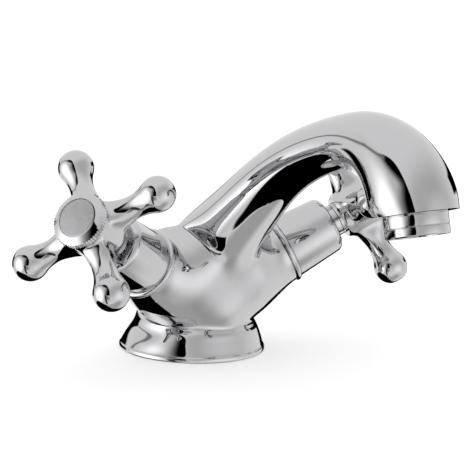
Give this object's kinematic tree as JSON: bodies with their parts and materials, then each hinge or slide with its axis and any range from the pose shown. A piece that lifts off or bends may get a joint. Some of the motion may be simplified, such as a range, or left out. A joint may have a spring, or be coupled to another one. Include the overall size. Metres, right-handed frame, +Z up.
{
  "type": "bathroom mixer faucet",
  "caption": "Chrome basin mixer with a cast swan-neck spout, splayed valve arms and ball-ended cross handles over quarter-turn ceramic valves.",
  "frame": {"origin": "middle of the foot's underside, where the fixing stud's thread opens", "axes": "+Z up from the deck, spout towards -Y, hot valve on -X, cold valve on +X"},
  "size_m": [0.1728, 0.175, 0.1081],
  "materials": {
    "chrome": "polished chrome plate",
    "satin": "satin",
    "brass": "machined brass",
    "steel": "plain stainless",
    "rubber": "matt black rubber",
    "ceramic": "lapped white alumina",
    "slip_plastic": "white acetal",
    "jet_plastic": "grey acetal"
  },
  "bodies": {
    "body": {"body_casting": "chrome", "inlet_block": "brass", "base_gasket": "rubber", "aerator_housing": "chrome", "aerator_insert": "jet_plastic", "aerator_screen": "steel", "aerator_washer": "rubber", "hot_headwork_body": "brass", "hot_headwork_seal": "rubber", "hot_seat_seal": "rubber", "hot_fixed_disc": "ceramic", "hot_thrust_washer": "slip_plastic", "hot_trim_ring": "chrome", "hot_shroud": "chrome", "cold_headwork_body": "brass", "cold_headwork_seal": "rubber", "cold_seat_seal": "rubber", "cold_fixed_disc": "ceramic", "cold_thrust_washer": "slip_plastic", "cold_trim_ring": "chrome", "cold_shroud": "chrome"},
    "hot_handle": {"hot_moving_disc": "ceramic", "hot_spindle": "brass", "hot_spindle_o_rings": "rubber", "hot_spindle_circlip": "steel", "hot_handle_cross": "chrome", "hot_handle_screw": "steel", "hot_index_ring": "chrome", "hot_index_disc": "satin"},
    "cold_handle": {"cold_moving_disc": "ceramic", "cold_spindle": "brass", "cold_spindle_o_rings": "rubber", "cold_spindle_circlip": "steel", "cold_handle_cross": "chrome", "cold_handle_screw": "steel", "cold_index_ring": "chrome", "cold_index_disc": "satin"}
  },
  "joints": [
    {"name": "hot_handle_turn", "type": "hinge", "parent": "body", "child": "hot_handle", "pos_m": [-0.03369, -0.01327, 0.03966], "axis": [-0.8177, -0.3221, 0.4772], "range_deg": [0, 90]},
    {"name": "cold_handle_turn", "type": "hinge", "parent": "body", "child": "cold_handle", "pos_m": [0.03369, -0.01327, 0.03966], "axis": [0.8177, -0.3221, 0.4772], "range_deg": [-90, 0]}
  ]
}
